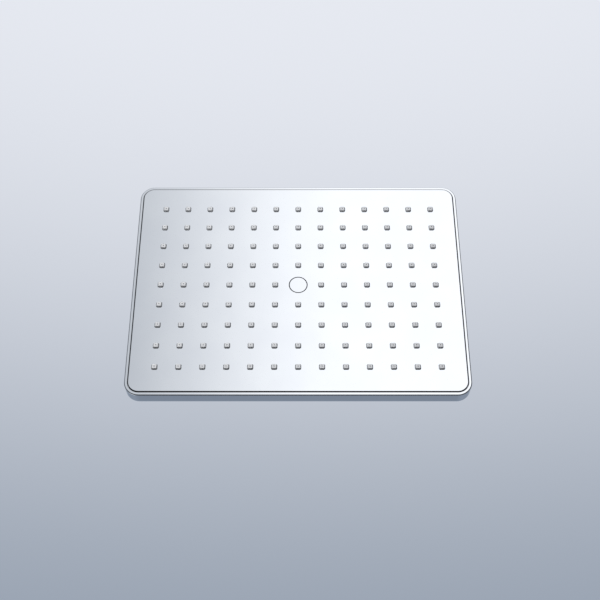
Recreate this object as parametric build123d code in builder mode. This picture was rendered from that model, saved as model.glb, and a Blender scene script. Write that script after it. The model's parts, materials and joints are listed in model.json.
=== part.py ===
from build123d import *

import os
from math import acos, asin, cos, degrees, hypot, radians, sin, sqrt, tan

# Rectangular rain shower head, in millimetres. +Z is up, the inlet opens upwards and the spray
# face looks down. The origin is the centre of the inlet's mouth, X runs along the long side.

# Spray face, seen from below
face_length = 260.0
face_width = 190.0
outer_corner_radius = 11.3
rim_width = 2.5
rim_edge_radius = 0.8
rim_inner_edge_radius = 0.15
plate_gap = 0.25
plate_stand = 0.7
plate_edge_radius = 0.6

# Nozzle grid, with the centre cap in place of the middle nozzle
nozzle_pitch = 18.0
nozzle_size = 4.2
nozzle_reach = 1.6
nozzle_taper = 0.4
nozzle_tip_chamfer = 0.25
nozzle_tip_corner_radius = 0.15
nozzle_hole_clearance = 0.22
nozzle_bore_radius = 1.4
nozzle_outlet_radius = 0.4
nozzle_outlet_length = 1.6
nozzle_edge_margin = 2.0

# Layers behind the spray face
plate_web = 2.0
mat_thickness = 1.2
mat_edge_clearance = 0.3
carrier_thickness = 3.0
carrier_edge_clearance = 0.4
carrier_hole_clearance = 0.35

# Outer casing
side_fillet = 4.0
shell_wall = 2.5
moat_depth = 5.9
crown_run = 55.0
crown_rise = 6.0
crown_edge_radius = 60.0
plateau_corner_radius = 15.0
pedestal_margin = 3.0
pedestal_height = 2.0
pedestal_edge_radius = 0.8

# Bands of the casing's border, from its outer edge inwards
screw_inset = 9.5
seal_ridge_inset = 12.0
seal_ridge_width = 5.5
chamber_corner_radius = 6.0
seal_width = 2.2
seal_height = 1.9
seal_corner_radius = 0.5
seal_side_clearance = 0.2
mat_border = 1.3

# Screws and clips
case_screw_radius = 1.2
case_screw_head_radius = 2.7
case_screw_head_height = 1.6
long_side_screws = 4
long_side_screw_end = 28.0
short_side_screw_end = 65.0
screw_boss_wall = 2.2
screw_boss_skin = 0.6
screw_pilot_clearance = 0.05
screw_pilot_depth = 0.3
screw_hole_clearance = 0.4
screw_head_clearance = 0.3
drive_slot_width = 0.7
clip_width = 8.0
clip_thickness = 1.2
clip_barb = 0.6
clip_barb_height = 1.0
clip_clearance = 0.15

# Centre cap and its screw
cap_flange = 1.8
cap_gap = 0.5
cap_thickness = 1.2
cap_edge_radius = 0.3
cap_skirt_height = 1.8
cap_skirt_wall = 1.0
cap_skirt_clearance = 0.05
centre_screw_radius = 1.4
centre_screw_head_radius = 3.8
centre_screw_head_height = 1.7
centre_seat_thickness = 1.5
centre_boss_wall = 3.3
centre_boss_clearance = 0.3
carrier_boss_wall = 3.0
carrier_boss_roof = 0.8
inlet_flow_gap = 3.3

# Inlet, a half inch parallel pipe thread drawn at its major diameter
inlet_thread_diameter = 20.955
inlet_thread_length = 9.0
hex_wall = 1.5
hex_chamfer = 0.8
hex_floor = 1.4
washer_shoulder = 0.9
washer_thickness = 2.2
washer_clearance = 0.15
washer_wall = 2.8
screen_thickness = 0.4
screen_mesh_pitch = 1.5
screen_mesh_hole = 0.9
screen_rim = 0.8

# Flow restrictor under the screen
restrictor_seat = 1.0
restrictor_height = 3.0
restrictor_clearance = 0.1
restrictor_wall = 1.0
restrictor_floor = 1.0
restrictor_post_radius = 1.8
restrictor_hole_radius = 0.6
restrictor_hole_count = 6
restrictor_ring_radius = 0.8
restrictor_ring_gap = 0.03

# Ball joint
ball_radius = 12.0
neck_wall = 2.0
water_bore_radius = 5.0
ball_flat_rim = 1.0
ball_clearance = 0.3
liner_thickness = 1.3
tilt_limit = 10.0
opening_margin = 2.2
ring_cover = 3.0
ring_lower_angle = 86.0
seal_inner_angle = 32.0
seal_outer_angle = 64.0
seal_edge_margin = 0.9

# Collar nut and the boss that it screws on
boss_wall = 2.6
boss_floor = 2.0
collar_thread_clearance = 0.1
collar_wall = 2.65
collar_foot_gap = 0.4
collar_grip_height = 1.5
collar_lip_height = 2.4
collar_lip_width = 3.2
collar_edge_radius = 0.8
collar_flute_radius = 1.6
collar_flute_depth = 0.5
collar_flute_count = 20
hex_clearance = 1.1

os.makedirs("parts", exist_ok=True)

# Angles of the ball joint, from the top of the ball
neck_radius = water_bore_radius + neck_wall
combined_tilt = degrees(acos(cos(radians(tilt_limit)) ** 2))
neck_angle = degrees(asin(neck_radius / ball_radius))
opening_angle = neck_angle + combined_tilt + opening_margin
ring_upper_angle = opening_angle + ring_cover
inlet_hole_angle = seal_inner_angle - combined_tilt - seal_edge_margin

# Radii of the ball joint's concentric layers
liner_inner_radius = ball_radius + ball_clearance
liner_outer_radius = liner_inner_radius + liner_thickness
socket_radius = liner_outer_radius + ball_clearance
boss_radius = socket_radius + boss_wall
collar_bore_radius = boss_radius + collar_thread_clearance
collar_radius = collar_bore_radius + collar_wall
collar_opening_radius = socket_radius * sin(radians(opening_angle))
collar_top = socket_radius * cos(radians(opening_angle)) + collar_lip_height

# Hexagon and the stepped bore inside it
inlet_radius = inlet_thread_diameter / 2
hex_flat_radius = inlet_radius + hex_wall
hex_corner_radius = hex_flat_radius / cos(radians(30))
washer_pocket_radius = inlet_radius - washer_shoulder
washer_pocket_z = -inlet_thread_length - washer_thickness - screen_thickness
restrictor_radius = water_bore_radius + restrictor_seat
restrictor_pocket_radius = restrictor_radius + restrictor_clearance
restrictor_pocket_z = washer_pocket_z - restrictor_height
hex_bottom_z = restrictor_pocket_z - hex_floor

# The hexagon's lowest corner clears the collar at full tilt
hex_lift = collar_top + hex_clearance + hex_corner_radius * sin(radians(combined_tilt))
ball_z = hex_bottom_z - hex_lift / cos(radians(combined_tilt))
ball_flat_z = ball_z - sqrt(ball_radius**2 - (water_bore_radius + ball_flat_rim) ** 2)

# Levels of the head, downwards from the ball
chamber_roof_z = ball_z - socket_radius - boss_floor
plateau_z = chamber_roof_z + shell_wall
pedestal_z = plateau_z + pedestal_height
collar_foot_z = pedestal_z + collar_foot_gap
side_top_z = plateau_z - crown_rise
moat_roof_z = side_top_z - shell_wall
ledge_z = moat_roof_z - moat_depth
carrier_z = ledge_z - carrier_thickness
mat_z = carrier_z - mat_thickness
face_z = mat_z - plate_web
rim_z = face_z + plate_stand

# Plan insets, from the casing's outer edge inwards
plate_inset = rim_width + plate_gap
carrier_inset = rim_width + carrier_edge_clearance
chamber_inset = seal_ridge_inset + seal_ridge_width
seal_inset = seal_ridge_inset + (seal_ridge_width - seal_width) / 2
mat_pocket_inset = chamber_inset - mat_border
mat_inset = mat_pocket_inset + mat_edge_clearance
ridge_corner_radius = chamber_corner_radius + seal_ridge_width
seal_outer_corner_radius = ridge_corner_radius - (seal_inset - seal_ridge_inset)
seal_inner_corner_radius = seal_outer_corner_radius - seal_width
pedestal_radius = collar_radius + pedestal_margin

# Places of the case screws along the border, with the face plate's clips half way between them
screw_line_x = face_length / 2 - screw_inset
screw_line_y = face_width / 2 - screw_inset
long_side_screw_x = face_length / 2 - long_side_screw_end
long_side_screw_step = 2 * long_side_screw_x / (long_side_screws - 1)
short_side_screw_y = face_width / 2 - short_side_screw_end
screw_points = [
    (number * long_side_screw_step - long_side_screw_x, side * screw_line_y)
    for number in range(long_side_screws)
    for side in (-1, 1)
]
screw_points += [
    (end * screw_line_x, side * short_side_screw_y)
    for end in (-1, 1)
    for side in (-1, 1)
]
clip_places = [
    Location(((number + 0.5) * long_side_screw_step - long_side_screw_x, side * screw_line_y), 90 + 90 * side)
    for number in range(long_side_screws - 1)
    for side in (-1, 1)
]
clip_places += [Location((end * screw_line_x, 0), 90 * end) for end in (-1, 1)]

# Case screws, from their seat in the carrier up to a skin below the casing's top
screw_seat_z = carrier_z + case_screw_head_height + screw_head_clearance
screw_pilot_z = side_top_z - screw_boss_skin
screw_tip_z = screw_pilot_z - screw_pilot_depth
screw_boss_radius = case_screw_radius + screw_boss_wall

# Centre stack, upwards from the spray face
cap_skirt_radius = centre_screw_head_radius + screw_head_clearance + cap_skirt_wall
cap_radius = cap_skirt_radius + cap_flange
cap_seat_radius = cap_radius + cap_gap
centre_recess_radius = cap_skirt_radius + cap_skirt_clearance
centre_seat_z = face_z + cap_thickness + cap_skirt_height + cap_skirt_clearance
centre_boss_radius = centre_recess_radius + centre_boss_wall
centre_boss_hole_radius = centre_boss_radius + centre_boss_clearance
centre_boss_z = centre_seat_z + centre_seat_thickness
carrier_boss_radius = centre_screw_radius + carrier_boss_wall
carrier_boss_z = chamber_roof_z - inlet_flow_gap
centre_pilot_z = carrier_boss_z - carrier_boss_roof
centre_screw_tip_z = centre_pilot_z - screw_pilot_depth

# Nozzle grid, left open round the centre boss
nozzle_corner_radius = nozzle_tip_corner_radius + nozzle_tip_chamfer + nozzle_taper
carrier_hole_radius = nozzle_bore_radius + carrier_hole_clearance
nozzle_inset = chamber_inset + carrier_hole_radius + nozzle_edge_margin
nozzle_side_columns = int((face_length / 2 - nozzle_inset) / nozzle_pitch)
nozzle_side_rows = int((face_width / 2 - nozzle_inset) / nozzle_pitch)
nozzle_points = [
    (column * nozzle_pitch, row * nozzle_pitch)
    for column in range(-nozzle_side_columns, nozzle_side_columns + 1)
    for row in range(-nozzle_side_rows, nozzle_side_rows + 1)
    if hypot(column, row) * nozzle_pitch > centre_boss_hole_radius + nozzle_size
]


def level(height):
    """Horizontal sketch plane at a height in the part's frame."""
    return Plane.XY.offset(height)


def plan(inset, corner_radius, mode=Mode.ADD):
    """Rounded rectangle parallel to the casing's outline, an inset inside it."""
    RectangleRounded(face_length - 2 * inset, face_width - 2 * inset, corner_radius, mode=mode)


def on_sphere(radius, angle):
    """Point of the section plane on a sphere about the ball's centre, by its angle from the top."""
    return (radius * sin(radians(angle)), ball_z + radius * cos(radians(angle)))


def sphere_arc(radius, start, end):
    """Arc of the section plane about the ball's centre, between two angles from the top."""
    ThreePointArc(on_sphere(radius, start), on_sphere(radius, (start + end) / 2), on_sphere(radius, end))


def liner_outline(start, end):
    """Outline of the section of a ring that lies between the ball and its socket."""
    sphere_arc(liner_inner_radius, start, end)
    Line(on_sphere(liner_inner_radius, end), on_sphere(liner_outer_radius, end))
    sphere_arc(liner_outer_radius, end, start)
    Line(on_sphere(liner_outer_radius, start), on_sphere(liner_inner_radius, start))


def drive_cross(radius):
    """Cross of two slots, the plan of a screw's drive recess."""
    Rectangle(2 * radius, drive_slot_width)
    Rectangle(drive_slot_width, 2 * radius)


# Ball connector: hexagon with the inlet thread, neck and ball, turned in one piece
with BuildPart() as ball_connector:
    with BuildSketch(level(hex_bottom_z)):
        RegularPolygon(hex_flat_radius, 6, major_radius=False)
    extrude(amount=-hex_bottom_z)
    with BuildSketch(Plane.XZ):
        hex_end_radius = hex_corner_radius - hex_chamfer / tan(radians(30))
        with BuildLine():
            Polyline(
                (0, 0),
                (hex_end_radius, 0),
                (hex_corner_radius, -hex_chamfer),
                (hex_corner_radius, hex_bottom_z + hex_chamfer),
                (hex_end_radius, hex_bottom_z),
                (0, hex_bottom_z),
                close=True,
            )
        make_face()
    revolve(axis=Axis.Z, mode=Mode.INTERSECT)
    with BuildSketch(level(ball_z)):
        Circle(neck_radius)
    extrude(amount=hex_bottom_z - ball_z)
    with Locations((0, 0, ball_z)):
        Sphere(ball_radius)
    split(bisect_by=level(ball_flat_z), keep=Keep.TOP)
    with BuildSketch(Plane.XZ):
        with BuildLine():
            Polyline(
                (0, 0),
                (inlet_radius, 0),
                (inlet_radius, -inlet_thread_length),
                (washer_pocket_radius, -inlet_thread_length),
                (washer_pocket_radius, washer_pocket_z),
                (restrictor_pocket_radius, washer_pocket_z),
                (restrictor_pocket_radius, restrictor_pocket_z),
                (water_bore_radius, restrictor_pocket_z),
                (water_bore_radius, ball_flat_z),
                (0, ball_flat_z),
                close=True,
            )
        make_face()
    revolve(axis=Axis.Z, mode=Mode.SUBTRACT)
ball_connector.part.label = "ball_connector"
export_step(ball_connector.part, "parts/ball_connector.step")

# Inlet washer, which the supply pipe seals on
washer_radius = washer_pocket_radius - washer_clearance
with BuildPart() as inlet_washer:
    with BuildSketch(level(washer_pocket_z + screen_thickness)):
        Circle(washer_radius)
        Circle(washer_radius - washer_wall, mode=Mode.SUBTRACT)
    extrude(amount=washer_thickness)
inlet_washer.part.label = "inlet_washer"
export_step(inlet_washer.part, "parts/inlet_washer.step")

# Filter screen, clamped under the washer
mesh_field_radius = restrictor_radius - screen_rim
mesh_side_count = int(mesh_field_radius / screen_mesh_pitch)
mesh_points = [
    (column * screen_mesh_pitch, row * screen_mesh_pitch)
    for column in range(-mesh_side_count, mesh_side_count + 1)
    for row in range(-mesh_side_count, mesh_side_count + 1)
    if (column**2 + row**2) * screen_mesh_pitch**2 < mesh_field_radius**2
]
with BuildPart() as filter_screen:
    with BuildSketch(level(washer_pocket_z)):
        Circle(washer_radius)
        with Locations(*mesh_points):
            Rectangle(screen_mesh_hole, screen_mesh_hole, mode=Mode.SUBTRACT)
    extrude(amount=screen_thickness)
filter_screen.part.label = "filter_screen"
export_step(filter_screen.part, "parts/filter_screen.step")

# Flow restrictor: a cup with a middle post and a ring of small holes
restrictor_track_radius = restrictor_post_radius + restrictor_ring_gap + restrictor_ring_radius
with BuildPart() as flow_restrictor:
    with BuildSketch(level(restrictor_pocket_z)):
        Circle(restrictor_radius)
        with PolarLocations(restrictor_track_radius, restrictor_hole_count):
            Circle(restrictor_hole_radius, mode=Mode.SUBTRACT)
    extrude(amount=restrictor_floor)
    with BuildSketch(level(restrictor_pocket_z + restrictor_floor)):
        Circle(restrictor_radius)
        Circle(restrictor_radius - restrictor_wall, mode=Mode.SUBTRACT)
        Circle(restrictor_post_radius)
    extrude(amount=restrictor_height - restrictor_floor)
flow_restrictor.part.label = "flow_restrictor"
export_step(flow_restrictor.part, "parts/flow_restrictor.step")

# Elastic ring round the restrictor's post
restrictor_ring_z = restrictor_pocket_z + restrictor_floor + restrictor_ring_gap + restrictor_ring_radius
with BuildPart() as restrictor_o_ring:
    with Locations((0, 0, restrictor_ring_z)):
        Torus(restrictor_track_radius, restrictor_ring_radius)
restrictor_o_ring.part.label = "restrictor_o_ring"
export_step(restrictor_o_ring.part, "parts/restrictor_o_ring.step")

# Seal cup under the ball
with BuildPart() as seal_cup:
    with BuildSketch(Plane.XZ):
        with BuildLine():
            liner_outline(180 - seal_outer_angle, 180 - seal_inner_angle)
        make_face()
    revolve(axis=Axis.Z)
seal_cup.part.label = "seal_cup"
export_step(seal_cup.part, "parts/seal_cup.step")

# Seat ring over the ball
with BuildPart() as seat_ring:
    with BuildSketch(Plane.XZ):
        with BuildLine():
            liner_outline(ring_upper_angle, ring_lower_angle)
        make_face()
    revolve(axis=Axis.Z)
seat_ring.part.label = "seat_ring"
export_step(seat_ring.part, "parts/seat_ring.step")

# Collar nut: fluted skirt, cone and the upper half of the ball's socket
collar_top_z = ball_z + collar_top
collar_lip_radius = collar_opening_radius + collar_lip_width
with BuildPart() as collar_nut:
    with BuildSketch(Plane.XZ):
        with BuildLine():
            Polyline(
                (socket_radius, ball_z),
                (collar_bore_radius, ball_z),
                (collar_bore_radius, collar_foot_z),
                (collar_radius, collar_foot_z),
                (collar_radius, ball_z + collar_grip_height),
                (collar_lip_radius, collar_top_z),
                (collar_opening_radius, collar_top_z),
                on_sphere(socket_radius, opening_angle),
            )
            sphere_arc(socket_radius, opening_angle, 90)
        make_face()
    revolve(axis=Axis.Z)
    with BuildSketch(level(collar_foot_z)):
        with PolarLocations(collar_radius + collar_flute_radius - collar_flute_depth, collar_flute_count):
            Circle(collar_flute_radius)
    extrude(amount=ball_z - collar_foot_z, mode=Mode.SUBTRACT)
    collar_rims = collar_nut.edges().filter_by(GeomType.CIRCLE).group_by(Axis.Z)[-1]
    fillet(collar_rims, collar_edge_radius)
collar_nut.part.label = "collar_nut"
export_step(collar_nut.part, "parts/collar_nut.step")

# Rear shell: the casing with its rim, water chamber, seal ridge, screw bosses and ball boss
with BuildPart() as rear_shell:
    with BuildSketch(level(rim_z)):
        plan(0, outer_corner_radius)
    extrude(amount=side_top_z - rim_z)
    fillet(rear_shell.edges().group_by(Axis.Z)[-1], side_fillet)
    fillet(rear_shell.edges().group_by(Axis.Z)[0], rim_edge_radius)
    with BuildSketch(level(side_top_z)):
        plan(side_fillet, outer_corner_radius - side_fillet)
    with BuildSketch(level(plateau_z)):
        plan(crown_run, plateau_corner_radius)
    loft(ruled=True)
    fillet(rear_shell.edges().group_by(Axis.Z)[-1], crown_edge_radius)
    with BuildSketch(level(plateau_z)):
        Circle(pedestal_radius)
    extrude(amount=pedestal_z - plateau_z)
    fillet(rear_shell.edges().group_by(Axis.Z)[-1], pedestal_edge_radius)
    with BuildSketch(level(pedestal_z)):
        Circle(boss_radius)
    extrude(amount=ball_z - pedestal_z)
    with BuildSketch(level(rim_z)):
        plan(rim_width, outer_corner_radius - rim_width)
    extrude(amount=ledge_z - rim_z, mode=Mode.SUBTRACT)
    rim_land = rear_shell.faces().sort_by(Axis.Z)[0]
    fillet(rim_land.inner_wires()[0].edges(), rim_inner_edge_radius)
    with BuildSketch(level(ledge_z)):
        plan(rim_width, outer_corner_radius - rim_width)
        plan(seal_ridge_inset, ridge_corner_radius, mode=Mode.SUBTRACT)
        with Locations(*screw_points):
            Circle(screw_boss_radius, mode=Mode.SUBTRACT)
    extrude(amount=moat_depth, mode=Mode.SUBTRACT)
    with BuildSketch(level(ledge_z)):
        plan(chamber_inset, chamber_corner_radius)
    extrude(amount=moat_depth, mode=Mode.SUBTRACT)
    with BuildSketch(level(moat_roof_z)):
        plan(chamber_inset, chamber_corner_radius)
    with BuildSketch(level(chamber_roof_z)):
        plan(crown_run, plateau_corner_radius)
    loft(ruled=True, mode=Mode.SUBTRACT)
    with BuildSketch(level(ledge_z)):
        plan(seal_inset - seal_side_clearance, seal_outer_corner_radius + seal_side_clearance)
        plan(
            seal_inset + seal_width + seal_side_clearance,
            seal_inner_corner_radius - seal_side_clearance,
            mode=Mode.SUBTRACT,
        )
    extrude(amount=seal_height, mode=Mode.SUBTRACT)
    with BuildSketch(level(ledge_z)):
        with Locations(*screw_points):
            Circle(case_screw_radius + screw_pilot_clearance)
    extrude(amount=screw_pilot_z - ledge_z, mode=Mode.SUBTRACT)
    with Locations((0, 0, ball_z)):
        Sphere(socket_radius, mode=Mode.SUBTRACT)
    with BuildSketch(level(chamber_roof_z)):
        Circle(socket_radius * sin(radians(inlet_hole_angle)))
    extrude(amount=socket_radius, mode=Mode.SUBTRACT)
rear_shell.part.label = "rear_shell"
export_step(rear_shell.part, "parts/rear_shell.step")

# Perimeter seal, pressed flat between the shell and the spray carrier
with BuildPart() as perimeter_seal:
    with BuildSketch(level(ledge_z)):
        plan(seal_inset, seal_outer_corner_radius)
        plan(seal_inset + seal_width, seal_inner_corner_radius, mode=Mode.SUBTRACT)
    extrude(amount=seal_height)
    seal_edges = perimeter_seal.edges().group_by(Axis.Z)
    fillet(seal_edges[0] + seal_edges[-1], seal_corner_radius)
perimeter_seal.part.label = "perimeter_seal"
export_step(perimeter_seal.part, "parts/perimeter_seal.step")

# Spray carrier: closes the water chamber and backs the nozzle mat
clip_slot_length = clip_width + 2 * clip_clearance
clip_slot_width = clip_thickness + clip_barb + clip_clearance
clip_slot_y = clip_clearance - clip_slot_width / 2
with BuildPart() as spray_carrier:
    with BuildSketch(level(carrier_z)):
        plan(carrier_inset, outer_corner_radius - carrier_inset)
        with Locations(*nozzle_points):
            Circle(carrier_hole_radius, mode=Mode.SUBTRACT)
        with Locations(*screw_points):
            Circle(case_screw_radius + screw_hole_clearance, mode=Mode.SUBTRACT)
        with Locations(*clip_places):
            with Locations((0, clip_slot_y)):
                Rectangle(clip_slot_length, clip_slot_width, mode=Mode.SUBTRACT)
    extrude(amount=carrier_thickness)
    with BuildSketch(level(carrier_z)):
        with Locations(*screw_points):
            Circle(case_screw_head_radius + screw_head_clearance)
    extrude(amount=screw_seat_z - carrier_z, mode=Mode.SUBTRACT)
    with BuildSketch(level(ledge_z)):
        Circle(carrier_boss_radius)
    extrude(amount=carrier_boss_z - ledge_z)
    with BuildSketch(level(carrier_z)):
        Circle(centre_boss_hole_radius)
    extrude(amount=centre_boss_z - carrier_z, mode=Mode.SUBTRACT)
    with BuildSketch(level(centre_boss_z)):
        Circle(centre_screw_radius + screw_pilot_clearance)
    extrude(amount=centre_pilot_z - centre_boss_z, mode=Mode.SUBTRACT)
spray_carrier.part.label = "spray_carrier"
export_step(spray_carrier.part, "parts/spray_carrier.step")

# Case screws, driven from below through the carrier into the shell's bosses
with BuildPart() as case_screw:
    with BuildSketch(level(screw_seat_z)):
        Circle(case_screw_head_radius)
    extrude(amount=-case_screw_head_height)
    with BuildSketch(level(screw_seat_z)):
        Circle(case_screw_radius)
    extrude(amount=screw_tip_z - screw_seat_z)
    with BuildSketch(level(screw_seat_z - case_screw_head_height)):
        drive_cross(case_screw_head_radius / 2)
    extrude(amount=case_screw_head_height / 2, mode=Mode.SUBTRACT)
with BuildPart() as case_screws:
    with Locations(*screw_points):
        add(case_screw.part)
case_screws.part.label = "case_screws"
export_step(case_screws.part, "parts/case_screws.step")

# One nozzle: a square post through the plate and a tapered tip below it
with BuildPart() as nozzle:
    with BuildSketch(level(mat_z)):
        RectangleRounded(nozzle_size, nozzle_size, nozzle_corner_radius)
    extrude(amount=-plate_web - nozzle_reach)
    nozzle_end = nozzle.faces().sort_by(Axis.Z)[0]
    chamfer(nozzle_end.edges(), nozzle_taper, nozzle_reach, reference=nozzle_end)
    chamfer(nozzle.faces().sort_by(Axis.Z)[0].edges(), nozzle_tip_chamfer)
    with BuildSketch(level(face_z - nozzle_reach)):
        Circle(nozzle_outlet_radius)
    extrude(amount=nozzle_outlet_length, mode=Mode.SUBTRACT)
    with BuildSketch(level(face_z - nozzle_reach + nozzle_outlet_length)):
        Circle(nozzle_bore_radius)
    extrude(amount=plate_web + nozzle_reach - nozzle_outlet_length, mode=Mode.SUBTRACT)

# Nozzle mat: one elastic sheet with every nozzle on it
with BuildPart() as nozzle_mat:
    with BuildSketch(level(mat_z)):
        plan(mat_inset, chamber_corner_radius)
        Circle(centre_boss_hole_radius, mode=Mode.SUBTRACT)
        with Locations(*nozzle_points):
            Circle(nozzle_bore_radius, mode=Mode.SUBTRACT)
    extrude(amount=mat_thickness)
    with Locations(*nozzle_points):
        add(nozzle.part)
nozzle_mat.part.label = "nozzle_mat"
export_step(nozzle_mat.part, "parts/nozzle_mat.step")

# One clip of the face plate, whose barb catches the back of the carrier past the slot's inner edge
clip_barb_z = ledge_z + clip_clearance
with BuildPart() as clip:
    with BuildSketch(level(carrier_z)):
        Rectangle(clip_width, clip_thickness, align=(Align.CENTER, Align.MAX))
    extrude(amount=clip_barb_z + clip_barb_height - carrier_z)
    with BuildSketch(level(clip_barb_z)):
        Rectangle(clip_width, clip_barb, align=(Align.CENTER, Align.MIN))
    extrude(amount=clip_barb_height)

# Face plate: the chromed spray plate, with the mat's pocket and the clips on its back
plate_hole_size = nozzle_size + 2 * nozzle_hole_clearance
plate_hole_corner_radius = nozzle_corner_radius + nozzle_hole_clearance
with BuildPart() as face_plate:
    with BuildSketch(level(face_z)):
        plan(plate_inset, outer_corner_radius - plate_inset)
        with Locations(*nozzle_points):
            RectangleRounded(
                plate_hole_size, plate_hole_size, plate_hole_corner_radius, mode=Mode.SUBTRACT
            )
    extrude(amount=plate_web)
    plate_outline = face_plate.faces().sort_by(Axis.Z)[0].outer_wire().edges()
    fillet(plate_outline, plate_edge_radius)
    with BuildSketch(level(mat_z)):
        plan(plate_inset, outer_corner_radius - plate_inset)
        plan(mat_pocket_inset, chamber_corner_radius + mat_edge_clearance, mode=Mode.SUBTRACT)
    extrude(amount=mat_thickness)
    with BuildSketch(level(mat_z)):
        Circle(centre_boss_radius)
    extrude(amount=centre_boss_z - mat_z)
    with BuildSketch(level(face_z)):
        Circle(cap_seat_radius)
    extrude(amount=cap_thickness, mode=Mode.SUBTRACT)
    with BuildSketch(level(face_z)):
        Circle(centre_recess_radius)
    extrude(amount=centre_seat_z - face_z, mode=Mode.SUBTRACT)
    with BuildSketch(level(centre_seat_z)):
        Circle(centre_screw_radius + screw_hole_clearance)
    extrude(amount=centre_seat_thickness, mode=Mode.SUBTRACT)
    with Locations(*clip_places):
        add(clip.part)
face_plate.part.label = "face_plate"
export_step(face_plate.part, "parts/face_plate.step")

# Centre screw, under the cap
with BuildPart() as centre_screw:
    with BuildSketch(level(centre_seat_z)):
        Circle(centre_screw_head_radius)
    extrude(amount=-centre_screw_head_height)
    with BuildSketch(level(centre_seat_z)):
        Circle(centre_screw_radius)
    extrude(amount=centre_screw_tip_z - centre_seat_z)
    with BuildSketch(level(centre_seat_z - centre_screw_head_height)):
        drive_cross(centre_screw_head_radius / 2)
    extrude(amount=centre_screw_head_height / 2, mode=Mode.SUBTRACT)
centre_screw.part.label = "centre_screw"
export_step(centre_screw.part, "parts/centre_screw.step")

# Centre cap: a bare disc with a skirt that grips round the screw's head
with BuildPart() as centre_cap:
    with BuildSketch(level(face_z)):
        Circle(cap_radius)
    extrude(amount=cap_thickness)
    fillet(centre_cap.edges().group_by(Axis.Z)[0], cap_edge_radius)
    with BuildSketch(level(face_z + cap_thickness)):
        Circle(cap_skirt_radius)
        Circle(cap_skirt_radius - cap_skirt_wall, mode=Mode.SUBTRACT)
    extrude(amount=cap_skirt_height)
centre_cap.part.label = "centre_cap"
export_step(centre_cap.part, "parts/centre_cap.step")
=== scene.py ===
"""Looks of a rectangular rain shower head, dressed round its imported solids.

The head hangs from its inlet with the spray face down, +Z is up and X runs along the long side.
Sizes are in millimetres and become metres where a mesh, a lamp or the camera is made.
"""

import json
import logging
import math
from dataclasses import dataclass
from enum import Enum
from typing import Any, ClassVar

import bpy
import numpy as np
from mathutils import Matrix, Vector


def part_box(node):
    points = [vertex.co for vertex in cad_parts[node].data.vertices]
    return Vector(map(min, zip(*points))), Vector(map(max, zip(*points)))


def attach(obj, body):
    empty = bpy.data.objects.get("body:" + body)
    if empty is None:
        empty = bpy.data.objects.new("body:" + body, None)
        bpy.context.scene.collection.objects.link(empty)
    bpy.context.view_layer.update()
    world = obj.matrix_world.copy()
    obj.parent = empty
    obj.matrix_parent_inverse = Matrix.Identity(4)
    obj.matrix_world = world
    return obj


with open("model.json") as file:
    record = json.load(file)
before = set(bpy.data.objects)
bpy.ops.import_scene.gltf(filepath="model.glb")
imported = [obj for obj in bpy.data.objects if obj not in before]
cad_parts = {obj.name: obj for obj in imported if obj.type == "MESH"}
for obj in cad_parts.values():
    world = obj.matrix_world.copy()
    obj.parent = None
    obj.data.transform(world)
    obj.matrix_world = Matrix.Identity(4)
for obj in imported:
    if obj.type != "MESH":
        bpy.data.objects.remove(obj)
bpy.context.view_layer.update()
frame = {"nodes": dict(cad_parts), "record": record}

MM = 0.001
LOG = logging.getLogger("rain_shower_head")
X_AXIS = (1.0, 0.0, 0.0)
Y_AXIS = (0.0, 1.0, 0.0)
Z_AXIS = (0.0, 0.0, 1.0)
# Most values of a noise texture lie between these
NOISE_SPAN = (0.3, 0.7)


class Body(Enum):
    """Bodies that a new piece can ride on."""

    CONNECTOR = "connector"


class Slot(Enum):
    """Material slots of the part's record."""

    CHROMED_ABS = "chromed_abs"
    PLATED_BRASS = "plated_brass"
    GREY_SILICONE = "grey_silicone"
    BLACK_RUBBER = "black_rubber"
    WHITE_ACETAL = "white_acetal"
    WHITE_ABS = "white_abs"
    STAINLESS_STEEL = "stainless_steel"


def linear(colour: str) -> tuple[float, float, float, float]:
    """Turn an sRGB hex colour into the linear colour that a shader takes.

    Args:
        colour: Six hex digits after a hash sign.

    Returns:
        Linear red, green, blue and an alpha of one.
    """
    levels = np.array([int(colour[i:i + 2], 16) for i in (1, 3, 5)]) / 255.0
    values = np.where(levels <= 0.04045, levels / 12.92, ((levels + 0.055) / 1.055) ** 2.4)
    return (*values.tolist(), 1.0)


def add_node(
    tree: bpy.types.NodeTree,
    kind: str,
    settings: dict[str | int, Any] | None = None,
    links: dict[str | int, bpy.types.NodeSocket] | None = None,
) -> bpy.types.Node:
    """Add a node to a shader tree, with its settings and links.

    Args:
        tree: Tree that the node goes into.
        kind: Blender's name for the node type, without its common first part.
        settings: Values by property name, or by input name or number.
        links: Output sockets by the input name or number that each one feeds.

    Returns:
        The new node.
    """
    node = tree.nodes.new("ShaderNode" + kind)
    for key, value in (settings or {}).items():
        if isinstance(key, str) and key in node.bl_rna.properties:
            setattr(node, key, value)
        else:
            node.inputs[key].default_value = value
    for key, source in (links or {}).items():
        tree.links.new(source, node.inputs[key])
    return node


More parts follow.
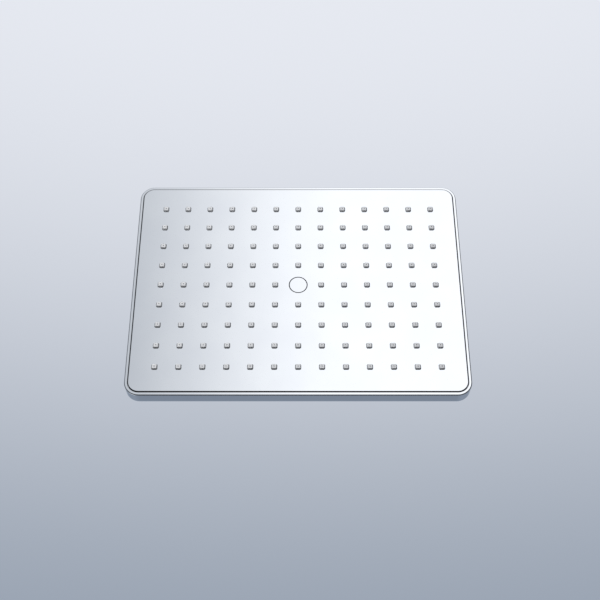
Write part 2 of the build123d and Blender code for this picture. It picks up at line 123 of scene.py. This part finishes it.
@dataclass(frozen=True)
class Recess:
    """Narrow pocket with a rounded rectangular plan, where shade is painted into the chrome's colour.

    The painted shade sets in between the two heights of fade_mm, counted upwards from the mouth, and fades
    out over end_fade_mm past depth_mm. Beside the pocket it fades out over margin_mm from the outline.
    """

    half_x_mm: float
    half_y_mm: float
    corner_mm: float
    mouth_z_mm: float
    fade_mm: tuple[float, float]
    depth_mm: float
    margin_mm: float = 0.45
    end_fade_mm: float = 1.0

    def mask(self, tree: bpy.types.NodeTree, place: bpy.types.NodeSocket) -> bpy.types.NodeSocket:
        """Add the nodes that tell how far a point lies inside the pocket.

        The plan is the set of points within the corner radius of an inner rectangle, so the length of
        the part of |p| that lies outside that rectangle is compared with the radius.

        Args:
            tree: Tree of the material.
            place: Object coordinates.

        Returns:
            Strength of the painted shade: one in the pocket, nothing past its margin.
        """
        # Painted shade: this mask says where the gap's chrome is darkened
        inner = ((self.half_x_mm - self.corner_mm) * MM, (self.half_y_mm - self.corner_mm) * MM, 0.0)
        steps: tuple[dict[str | int, Any], ...] = (
            {"operation": "ABSOLUTE"},
            {"operation": "SUBTRACT", 1: inner},
            {"operation": "MAXIMUM"},
            {"operation": "MULTIPLY", 1: (1.0, 1.0, 0.0)},
        )
        apart = place
        for step in steps:
            apart = add_node(tree, "VectorMath", step, {0: apart}).outputs["Vector"]
        apart = add_node(tree, "VectorMath", {"operation": "LENGTH"}, {0: apart}).outputs["Value"]
        plan = add_node(
            tree,
            "MapRange",
            {"From Min": self.corner_mm * MM, "From Max": (self.corner_mm + self.margin_mm) * MM,
             "To Min": 1.0, "To Max": 0.0},
            {"Value": apart},
        )
        height = add_node(tree, "SeparateXYZ", links={"Vector": place}).outputs["Z"]
        below = add_node(
            tree,
            "MapRange",
            {"From Min": (self.mouth_z_mm + self.fade_mm[0]) * MM,
             "From Max": (self.mouth_z_mm + self.fade_mm[1]) * MM},
            {"Value": height},
        )
        above = add_node(
            tree,
            "MapRange",
            {"From Min": (self.mouth_z_mm + self.depth_mm) * MM,
             "From Max": (self.mouth_z_mm + self.depth_mm + self.end_fade_mm) * MM,
             "To Min": 1.0, "To Max": 0.0},
            {"Value": height},
        )
        deep = add_node(
            tree, "Math", {"operation": "MULTIPLY"}, {0: below.outputs["Result"], 1: above.outputs["Result"]}
        )
        inside = add_node(
            tree, "Math", {"operation": "MULTIPLY"}, {0: plan.outputs["Result"], 1: deep.outputs["Value"]}
        )
        return inside.outputs["Value"]


@dataclass(frozen=True)
class Finish:
    """Finish of a moulded material: two close tones, a spread of gloss and a fine grain."""

    name: str
    light_tone: str
    dark_tone: str
    gloss_roughness: float
    dull_roughness: float
    mottle_mm: float
    grain_mm: float
    grain_depth_mm: float
    ior: float = 1.5
    metallic: float = 0.0

    def tone(
        self, tree: bpy.types.NodeTree, place: bpy.types.NodeSocket, mottle: bpy.types.NodeSocket
    ) -> bpy.types.NodeSocket:
        """Add the nodes of the colour.

        Args:
            tree: Tree of the material.
            place: Object coordinates.
            mottle: Slow change over the surface, from nothing to one.

        Returns:
            Base colour.
        """
        mix = add_node(
            tree,
            "Mix",
            {"data_type": "RGBA", 6: linear(self.dark_tone), 7: linear(self.light_tone)},
            {0: mottle},
        )
        return mix.outputs[2]

    def relief(self, tree: bpy.types.NodeTree, place: bpy.types.NodeSocket) -> bpy.types.NodeSocket:
        """Add the nodes of the fine relief, here an even grain.

        Args:
            tree: Tree of the material.
            place: Object coordinates.

        Returns:
            Height from nothing to one.
        """
        grain = add_node(
            tree, "TexNoise", {"Scale": 1.0 / (self.grain_mm * MM), "Detail": 2.0}, {"Vector": place}
        )
        return grain.outputs["Fac"]

    def material(self) -> bpy.types.Material:
        """Make the material.

        Returns:
            A material that reads Object coordinates, so its patterns keep their real size.
        """
        material = bpy.data.materials.new(self.name)
        material.use_nodes = True
        tree = material.node_tree
        tree.nodes.clear()
        place = add_node(tree, "TexCoord").outputs["Object"]
        cloud = add_node(
            tree,
            "TexNoise",
            {"Scale": 1.0 / (self.mottle_mm * MM), "Detail": 3.0, "Roughness": 0.55},
            {"Vector": place},
        )
        low, high = NOISE_SPAN
        mottle = add_node(
            tree, "MapRange", {"From Min": low, "From Max": high}, {"Value": cloud.outputs["Fac"]}
        ).outputs["Result"]
        roughness = add_node(
            tree,
            "MapRange",
            {"To Min": self.gloss_roughness, "To Max": self.dull_roughness},
            {"Value": mottle},
        )
        bump = add_node(
            tree,
            "Bump",
            {"Distance": self.grain_depth_mm * MM},
            {"Height": self.relief(tree, place)},
        )
        shader = add_node(
            tree,
            "BsdfPrincipled",
            {"Metallic": self.metallic, "IOR": self.ior},
            {"Base Color": self.tone(tree, place, mottle), "Roughness": roughness.outputs["Result"],
             "Normal": bump.outputs["Normal"]},
        )
        add_node(tree, "OutputMaterial", links={"Surface": shader.outputs["BSDF"]})
        return material


@dataclass(frozen=True)
class PlatedPlastic(Finish):
    """Bright chrome on a moulding, with shade painted dark into its narrow recesses."""

    metallic: float = 1.0
    # Near black of the shade painted into the recesses
    painted_shade_tone: str = "#232426"
    recesses: tuple[Recess, ...] = ()

    def tone(
        self, tree: bpy.types.NodeTree, place: bpy.types.NodeSocket, mottle: bpy.types.NodeSocket
    ) -> bpy.types.NodeSocket:
        """Add the nodes of the colour.

        Args:
            tree: Tree of the material.
            place: Object coordinates.
            mottle: Slow change over the surface, from nothing to one.

        Returns:
            Base colour, darkened by painted shade in the recesses.
        """
        colour = super().tone(tree, place, mottle)
        # Painted shade: each recess mixes the chrome's colour towards the dark tone
        for recess in self.recesses:
            mix = add_node(
                tree,
                "Mix",
                {"data_type": "RGBA", 7: linear(self.painted_shade_tone)},
                {0: recess.mask(tree, place), 6: colour},
            )
            colour = mix.outputs[2]
        return colour


@dataclass(frozen=True)
class TurnedMetal(Finish):
    """Plated metal that keeps the faint rings of the lathe tool."""

    metallic: float = 1.0

    def relief(self, tree: bpy.types.NodeTree, place: bpy.types.NodeSocket) -> bpy.types.NodeSocket:
        """Add the nodes of the tool's rings: bands along Z on round walls, circles about Z on end faces.

        Args:
            tree: Tree of the material.
            place: Object coordinates.

        Returns:
            Height from nothing to one.
        """
        # A wave texture repeats 20 / (2 pi) times in a unit of its scale
        waves = 2.0 * math.pi / (20.0 * self.grain_mm * MM)
        wave = {"Scale": waves, "Distortion": 0.6, "Detail": 1.0, "Detail Scale": 0.2}
        bands = add_node(
            tree, "TexWave", {"wave_type": "BANDS", "bands_direction": "Z", **wave}, {"Vector": place}
        )
        rings = add_node(
            tree, "TexWave", {"wave_type": "RINGS", "rings_direction": "Z", **wave}, {"Vector": place}
        )
        height = add_node(
            tree, "Math", {"operation": "MULTIPLY"}, {0: bands.outputs["Fac"], 1: rings.outputs["Fac"]}
        )
        return height.outputs["Value"]


@dataclass(frozen=True)
class RolledMetal(Finish):
    """Plain metal with the long fine lines of the rolling mill."""

    metallic: float = 1.0
    line_mm: float = 6.0

    def relief(self, tree: bpy.types.NodeTree, place: bpy.types.NodeSocket) -> bpy.types.NodeSocket:
        """Add the nodes of the lines, a noise drawn out along X.

        Args:
            tree: Tree of the material.
            place: Object coordinates.

        Returns:
            Height from nothing to one.
        """
        across = 1.0 / (self.grain_mm * MM)
        drawn = add_node(
            tree, "Mapping", {"Scale": (1.0 / (self.line_mm * MM), across, across)}, {"Vector": place}
        )
        lines = add_node(tree, "TexNoise", {"Scale": 1.0, "Detail": 2.0}, {"Vector": drawn.outputs["Vector"]})
        return lines.outputs["Fac"]


def grid_quads(rows: int, columns: int) -> np.ndarray:
    """Corner numbers of the quads of a closed band of points that are numbered row by row.

    Args:
        rows: Number of rows of points.
        columns: Number of points in a row, the last of which joins the first.

    Returns:
        Array of quads, four point numbers each.
    """
    row, column = np.meshgrid(np.arange(rows - 1), np.arange(columns), indexing="ij")
    after = (column + 1) % columns
    here = row * columns
    quads = (here + column, here + after, here + columns + after, here + columns + column)
    return np.stack(quads, axis=-1).reshape(-1, 4)


def mesh_piece(
    name: str, points: np.ndarray, faces: list[list[int]], crease_deg: float = 40.0
) -> bpy.types.Object:
    """Make an object from points in metres, smooth but for its creases.

    Args:
        name: Name of the piece.
        points: Array of points, three coordinates each.
        faces: Point numbers of each face.
        crease_deg: Angle between faces above which an edge stays sharp.

    Returns:
        The object, at the origin and linked to the scene.
    """
    mesh = bpy.data.meshes.new(name)
    mesh.from_pydata(points.tolist(), [], faces)
    mesh.polygons.foreach_set("use_smooth", np.ones(len(mesh.polygons), dtype=bool))
    mesh.set_sharp_from_angle(angle=math.radians(crease_deg))
    piece = bpy.data.objects.new(name, mesh)
    bpy.context.scene.collection.objects.link(piece)
    return piece


@dataclass
class SubAssembly:
    """Solids that come off the bench together, each with the finish of its own slot."""

    materials: dict[Slot, bpy.types.Material]
    nodes: ClassVar[tuple[str, ...]] = ()

    def dress(self) -> None:
        """Give every solid its finish."""
        for name in self.nodes:
            node = frame["nodes"][name]
            material = self.materials[Slot(node.data.materials[0].name)]
            node.material_slots[0].link = "OBJECT"
            node.material_slots[0].material = material
            LOG.info("%s dressed in %s", name, material.name)


@dataclass
class InletConnector(SubAssembly):
    """Ball connector with its thread, washer, screen and flow restrictor."""

    nodes: ClassVar[tuple[str, ...]] = (
        "ball_connector", "inlet_washer", "filter_screen", "flow_restrictor", "restrictor_o_ring"
    )
    thread_pitch_mm: float = 1.814
    thread_depth_mm: float = 1.162
    # Half of the ridge's section, as shares of the pitch along the bore and of the depth inwards
    thread_along: tuple[float, ...] = (0.09, 0.2, 0.38, 0.47)
    thread_inwards: tuple[float, ...] = (0.93, 0.7, 0.25, 0.0)
    thread_embed_mm: float = 0.15
    thread_end_margin_mm: float = 1.0
    thread_fade_turns: float = 0.35
    steps_per_turn: int = 72

    def build_thread(self, radius_mm: float, length_mm: float) -> bpy.types.Object:
        """Carry the thread's rounded ridge along a helix on the bore.

        With a turn angle t and a section point (inwards a, along b), the surface is
        ((R - a f(t)) cos t, (R - a f(t)) sin t, z0 - pitch t / 2 pi + b), where f rises from
        nothing to one over the first part of a turn and falls again over the last. Section points
        behind the bore's wall, where a is below nothing, keep an f of one.

        Args:
            radius_mm: Radius of the bore that the ridge stands on.
            length_mm: Length of the threaded bore.

        Returns:
            The ridge.
        """
        half_along = np.array(self.thread_along)
        half_inwards = np.array(self.thread_inwards)
        inwards = self.thread_depth_mm * np.concatenate([half_inwards[::-1], [1.0], half_inwards])
        along = self.thread_pitch_mm * np.concatenate([-half_along[::-1], [0.0], half_along])
        inwards = np.concatenate([inwards, [-self.thread_embed_mm, -self.thread_embed_mm]])
        along = np.concatenate([along, [along[-1], along[0]]])
        turns = (length_mm - 2.0 * self.thread_end_margin_mm) / self.thread_pitch_mm
        steps = int(turns * self.steps_per_turn) + 1
        turn = np.linspace(0.0, turns, steps)[:, None]
        fade = np.clip(np.minimum(turn, turns - turn) / self.thread_fade_turns, 0.0, 1.0)
        fade = fade * fade * (3.0 - 2.0 * fade)
        rise = np.where(inwards > 0.0, inwards * fade, inwards)
        reach = radius_mm - rise
        angle = 2.0 * np.pi * turn
        height = -self.thread_end_margin_mm - self.thread_pitch_mm * turn + along
        points = np.stack([reach * np.cos(angle), reach * np.sin(angle), height], axis=-1)
        section = len(inwards)
        faces = grid_quads(steps, section).tolist()
        faces.append(list(range(section))[::-1])
        faces.append([(steps - 1) * section + number for number in range(section)])
        ridge = mesh_piece("inlet_thread_ridge", points.reshape(-1, 3) * MM, faces)
        ridge.data.materials.append(self.materials[Slot.PLATED_BRASS])
        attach(ridge, Body.CONNECTOR.value)
        LOG.info("%s built, %d faces", ridge.name, len(faces))
        return ridge


@dataclass
class BallSocket(SubAssembly):
    """Loose rings and the nut that hold the ball on the casing."""

    nodes: ClassVar[tuple[str, ...]] = ("seal_cup", "seat_ring", "collar_nut")


@dataclass
class HeadCasing(SubAssembly):
    """Outer casing with what closes its water chamber."""

    nodes: ClassVar[tuple[str, ...]] = ("rear_shell", "perimeter_seal", "spray_carrier", "case_screws")


@dataclass
class SprayFace(SubAssembly):
    """Spray plate with its nozzles and centre cap."""

    nodes: ClassVar[tuple[str, ...]] = ("face_plate", "nozzle_mat", "centre_screw", "centre_cap")


@dataclass(frozen=True)
class FaceGaps:
    """Narrow gaps of the spray face, round the plate and round the centre cap, which get painted shade."""

    rim_mm: float = 2.5
    pocket_corner_mm: float = 8.8
    # The plate stands out of the rim, and the painted shade starts from its rounded edge on, before the mouth
    plate_fade_mm: tuple[float, float] = (-0.69, -0.55)
    plate_depth_mm: float = 5.0
    cap_gap_mm: float = 0.5
    cap_fade_mm: tuple[float, float] = (0.05, 0.3)
    cap_depth_mm: float = 1.5

    def recesses(self) -> tuple[Recess, ...]:
        """Place the gaps by the solids' boxes.

        Returns:
            The gap round the plate and the gap round the cap.
        """
        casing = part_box("rear_shell")[1] / MM
        rim_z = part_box("rear_shell")[0].z / MM
        face_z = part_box("face_plate")[0].z / MM
        cap_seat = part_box("centre_cap")[1].x / MM + self.cap_gap_mm
        plate_gap = Recess(
            casing.x - self.rim_mm, casing.y - self.rim_mm, self.pocket_corner_mm,
            mouth_z_mm=rim_z, fade_mm=self.plate_fade_mm, depth_mm=self.plate_depth_mm,
        )
        cap_gap = Recess(
            cap_seat, cap_seat, cap_seat,
            mouth_z_mm=face_z, fade_mm=self.cap_fade_mm, depth_mm=self.cap_depth_mm,
        )
        return (plate_gap, cap_gap)


def finishes() -> dict[Slot, Finish]:
    """Finish of every slot.

    Returns:
        The finishes, each named for its real material.
    """
    return {
        # Bright chrome on moulded ABS: a clear mirror over the faint slow swell of the moulding
        # painted shade darkens the gaps round the plate and the centre cap
        Slot.CHROMED_ABS: PlatedPlastic(
            "bright_chrome_on_abs", "#dfe2e6", "#dbdee3", gloss_roughness=0.02, dull_roughness=0.045,
            mottle_mm=30.0, grain_mm=40.0, grain_depth_mm=0.004, recesses=FaceGaps().recesses(),
        ),
        # Chrome on turned brass: a little warmer and softer, with the lathe's rings, drawn coarser than
        # the real feed of a tenth of a millimetre so that they show
        Slot.PLATED_BRASS: TurnedMetal(
            "chrome_on_turned_brass", "#dcdcda", "#d5d6d6", gloss_roughness=0.05, dull_roughness=0.10,
            mottle_mm=8.0, grain_mm=0.3, grain_depth_mm=0.0012,
        ),
        # Moulded silicone: a soft light grey with a low sheen and a fine bloom
        Slot.GREY_SILICONE: Finish(
            "moulded_silicone", "#d2d3d5", "#cacbce", gloss_roughness=0.34, dull_roughness=0.46,
            mottle_mm=3.0, grain_mm=0.35, grain_depth_mm=0.003, ior=1.41,
        ),
        # Moulded rubber: near black and dull
        Slot.BLACK_RUBBER: Finish(
            "moulded_nitrile_rubber", "#1b1b1c", "#141415", gloss_roughness=0.55, dull_roughness=0.70,
            mottle_mm=2.0, grain_mm=0.3, grain_depth_mm=0.006, ior=1.52,
        ),
        # Acetal: waxy white with a soft shine
        Slot.WHITE_ACETAL: Finish(
            "moulded_acetal", "#eceae4", "#e6e4dd", gloss_roughness=0.28, dull_roughness=0.38,
            mottle_mm=4.0, grain_mm=0.5, grain_depth_mm=0.003, ior=1.48,
        ),
        # Plain ABS inside the head: off white, with the fine spark grain of its mould
        Slot.WHITE_ABS: Finish(
            "moulded_abs", "#e3e3e0", "#dcdcd8", gloss_roughness=0.35, dull_roughness=0.48,
            mottle_mm=10.0, grain_mm=0.6, grain_depth_mm=0.004, ior=1.53,
        ),
        # Stainless steel: a grey metal with the lines of the rolled strip
        Slot.STAINLESS_STEEL: RolledMetal(
            "rolled_stainless", "#c9c8c5", "#bdbcb9", gloss_roughness=0.18, dull_roughness=0.30,
            mottle_mm=1.5, grain_mm=0.12, grain_depth_mm=0.001,
        ),
    }


@dataclass(frozen=True)
class Fade:
    """Soft step of a light's strength along one axis of the direction that it comes from."""

    axis: tuple[float, float, float]
    edges: tuple[float, float]
    levels: tuple[float, float]


@dataclass(frozen=True)
class Glow:
    """Part of the surrounding light: a tint times the product of its fades."""

    tint: tuple[float, float, float]
    fades: tuple[Fade, ...]

    def light(self, tree: bpy.types.NodeTree, direction: bpy.types.NodeSocket) -> bpy.types.NodeSocket:
        """Add the nodes of this part.

        Args:
            tree: Tree of the world.
            direction: Unit vector towards the light.

        Returns:
            Colour of the light from that direction.
        """
        tone = add_node(tree, "CombineXYZ", dict(zip("XYZ", self.tint))).outputs["Vector"]
        for fade in self.fades:
            along = add_node(tree, "VectorMath", {"operation": "DOT_PRODUCT", 1: fade.axis}, {0: direction})
            level = add_node(
                tree,
                "MapRange",
                {"interpolation_type": "SMOOTHSTEP", "From Min": fade.edges[0], "From Max": fade.edges[1],
                 "To Min": fade.levels[0], "To Max": fade.levels[1]},
                {"Value": along.outputs["Value"]},
            )
            links = {0: tone, "Scale": level.outputs["Result"]}
            tone = add_node(tree, "VectorMath", {"operation": "SCALE"}, links).outputs["Vector"]
        return tone


# Fades that several glows share: down to the dark below, out to the sides, and the edges of a panel
LOW_FADE = Fade(Z_AXIS, (-0.1, -0.5), (1.0, 0.1))
SIDE_FADES = (Fade(X_AXIS, (0.35, 0.9), (1.0, 0.3)), Fade(X_AXIS, (-0.35, -0.9), (1.0, 0.3)))
PANEL_FADES = (
    Fade(Z_AXIS, (-0.45, -0.72), (0.0, 1.0)),
    Fade(Y_AXIS, (-0.15, 0.12), (0.0, 1.0)),
    Fade(X_AXIS, (-0.19, -0.33), (1.0, 0.05)),
)
GLOWS: tuple[Glow, ...] = (
    # Even light of the room, which goes dark behind the camera
    Glow((0.86, 1.0, 1.22), (Fade(Y_AXIS, (-0.95, -0.25), (0.03, 0.35)), LOW_FADE, *SIDE_FADES)),
    # Brighter light ahead
    Glow((1.03, 0.98, 0.95), (Fade(Y_AXIS, (0.15, 0.75), (0.0, 0.48)), LOW_FADE, *SIDE_FADES)),
    # Pale band along the horizon on the other sides
    Glow(
        (0.97, 1.0, 1.04),
        (Fade(Y_AXIS, (0.3, -0.1), (0.0, 0.2)), Fade(Z_AXIS, (-0.5, -0.2), (0.0, 1.0)),
         Fade(Z_AXIS, (0.3, 0.05), (0.0, 1.0))),
    ),
    # Wide panel below and ahead, which the spray face mirrors
    Glow((0.95, 1.0, 1.065), (Fade(X_AXIS, (0.24, 0.9), (0.53, 0.14)), *PANEL_FADES)),
    # Its brighter half
    Glow((1.03, 1.0, 0.965), (Fade(X_AXIS, (0.24, -0.06), (0.0, 0.78)), *PANEL_FADES)),
    # Soft lights on two sides, for the casing's back
    Glow((1.0, 1.0, 1.0), (Fade((-0.69, 0.69, 0.22), (0.94, 0.99), (0.0, 0.6)),)),
    Glow((1.0, 1.0, 1.0), (Fade((0.6, -0.6, 0.53), (0.91, 0.99), (0.0, 0.9)),)),
)


@dataclass(frozen=True)
class Lamp:
    """Soft square lamp that lights the dull surfaces and is not mirrored in the polished ones."""

    name: str
    place_mm: tuple[float, float, float]
    aim_mm: tuple[float, float, float]
    size_mm: float
    power_w: float

    def hang(self) -> bpy.types.Object:
        """Hang the lamp.

        Returns:
            The lamp.
        """
        data = bpy.data.lights.new(self.name, "AREA")
        data.shape = "SQUARE"
        data.size = self.size_mm * MM
        data.energy = self.power_w
        lamp = bpy.data.objects.new(self.name, data)
        bpy.context.scene.collection.objects.link(lamp)
        place = Vector(self.place_mm) * MM
        lamp.location = place
        lamp.rotation_euler = (Vector(self.aim_mm) * MM - place).to_track_quat("-Z", "Y").to_euler()
        lamp.visible_glossy = False
        lamp.visible_camera = False
        return lamp


LAMPS: tuple[Lamp, ...] = (
    # Lights the nozzles from below
    Lamp("key_panel", (160.0, 60.0, -665.0), aim_mm=(0.0, 0.0, -66.0), size_mm=300.0, power_w=3.3),
    # Lights the floor from above
    Lamp("top_panel", (0.0, 0.0, 3500.0), aim_mm=(0.0, 0.0, -1000.0), size_mm=5000.0, power_w=150.0),
)


@dataclass
class Studio:
    """Floor, surrounding light, lamps and the camera."""

    floor_z_mm: float = -1000.0
    floor_radius_mm: float = 2500.0
    sweep_radius_mm: float = 1500.0
    wall_top_mm: float = 1800.0
    middle_radius_mm: float = 1.0
    sweep_steps: int = 17
    turn_steps: int = 96
    lens_mm: float = 63.825
    sensor_mm: float = 36.0
    clip_mm: tuple[float, float] = (10.0, 100000.0)
    view_elevation_deg: float = 59.791
    view_distance_mm: float = 835.3
    # How far the spray face's middle stands left of the picture's middle, and above it
    face_left_mm: float = 1.409
    face_up_mm: float = 11.894

    def camera(self, face_z: float) -> bpy.types.Object:
        """Stand the camera below the near edge, looking up at the spray face.

        Args:
            face_z: Height of the spray face in metres.

        Returns:
            The camera.
        """
        tilt = math.radians(self.view_elevation_deg)
        forward = Vector((0.0, math.cos(tilt), math.sin(tilt)))
        up = Vector((0.0, math.sin(tilt), -math.cos(tilt)))
        right = forward.cross(up)
        aim = Vector((0.0, 0.0, face_z)) + right * self.face_left_mm * MM - up * self.face_up_mm * MM
        place = aim - forward * self.view_distance_mm * MM
        data = bpy.data.cameras.new("camera")
        data.lens = self.lens_mm
        data.sensor_width = self.sensor_mm
        data.clip_start = self.clip_mm[0] * MM
        data.clip_end = self.clip_mm[1] * MM
        camera = bpy.data.objects.new("camera", data)
        bpy.context.scene.collection.objects.link(camera)
        turn = Matrix((right, up, -forward)).transposed()
        camera.matrix_world = Matrix.Translation(place) @ turn.to_4x4()
        bpy.context.scene.camera = camera
        return camera

    def floor(self) -> bpy.types.Object:
        """Lay a plain pale floor well below the head, swept up all round into a low wall.

        The section runs out along the floor, up a quarter circle and up the wall, and is turned
        about the vertical: (r(s) cos t, r(s) sin t, z(s)).

        Returns:
            The floor, which the head neither mirrors nor is lit by.
        """
        bend = np.linspace(0.0, np.pi / 2.0, self.sweep_steps)
        radius = self.floor_radius_mm + self.sweep_radius_mm * np.sin(bend)
        height = self.floor_z_mm + self.sweep_radius_mm * (1.0 - np.cos(bend))
        radius = np.concatenate([[self.middle_radius_mm], radius, radius[-1:]])[:, None]
        height = np.concatenate([[self.floor_z_mm], height, [self.wall_top_mm]])[:, None]
        turn = np.linspace(0.0, 2.0 * np.pi, self.turn_steps, endpoint=False)
        spread = np.ones_like(turn)
        points = np.stack([radius * np.cos(turn), radius * np.sin(turn), height * spread], axis=-1)
        faces = grid_quads(len(radius), len(turn))[:, ::-1].tolist()
        faces.append(list(range(len(turn))))
        floor = mesh_piece("floor", points.reshape(-1, 3) * MM, faces)
        # Matt wall paint: pale and even, with the faint stipple of a roller
        paint = Finish(
            "matt_wall_paint", "#e8eaec", "#e4e6e8", gloss_roughness=0.7, dull_roughness=0.85,
            mottle_mm=400.0, grain_mm=2.0, grain_depth_mm=0.02,
        )
        floor.data.materials.append(paint.material())
        floor.visible_glossy = False
        floor.visible_diffuse = False
        floor.visible_shadow = False
        return floor

    def surroundings(self) -> None:
        """Wrap the set in the glows: bright ahead and below, pale at the horizon, dark behind the camera."""
        world = bpy.data.worlds.new("studio")
        bpy.context.scene.world = world
        world.use_nodes = True
        tree = world.node_tree
        tree.nodes.clear()
        direction = add_node(tree, "TexCoord").outputs["Generated"]
        total = GLOWS[0].light(tree, direction)
        for glow in GLOWS[1:]:
            both = {0: total, 1: glow.light(tree, direction)}
            total = add_node(tree, "VectorMath", {"operation": "ADD"}, both).outputs["Vector"]
        light = add_node(tree, "Background", {"Strength": 1.0}, {"Color": total})
        add_node(tree, "OutputWorld", links={"Surface": light.outputs["Background"]})

    def build(self, face_z: float) -> None:
        """Set everything up.

        Args:
            face_z: Height of the spray face in metres.
        """
        self.camera(face_z)
        self.floor()
        self.surroundings()
        for lamp in LAMPS:
            lamp.hang()
        bpy.context.scene.view_settings.view_transform = "Standard"
        LOG.info("studio built")


def main() -> None:
    """Build the pieces in order, dress them and light them."""
    logging.basicConfig(level=logging.INFO, format="%(name)s: %(message)s")
    materials = {slot: finish.material() for slot, finish in finishes().items()}
    connector = InletConnector(materials)
    for sub_assembly in (connector, BallSocket(materials), HeadCasing(materials), SprayFace(materials)):
        sub_assembly.dress()
    bore = frame["record"]["mounts"][0]["dims"]
    connector.build_thread(bore["r_mm"], bore["length_mm"])
    Studio().build(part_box("face_plate")[0].z)


if __name__ == "__main__":
    main()
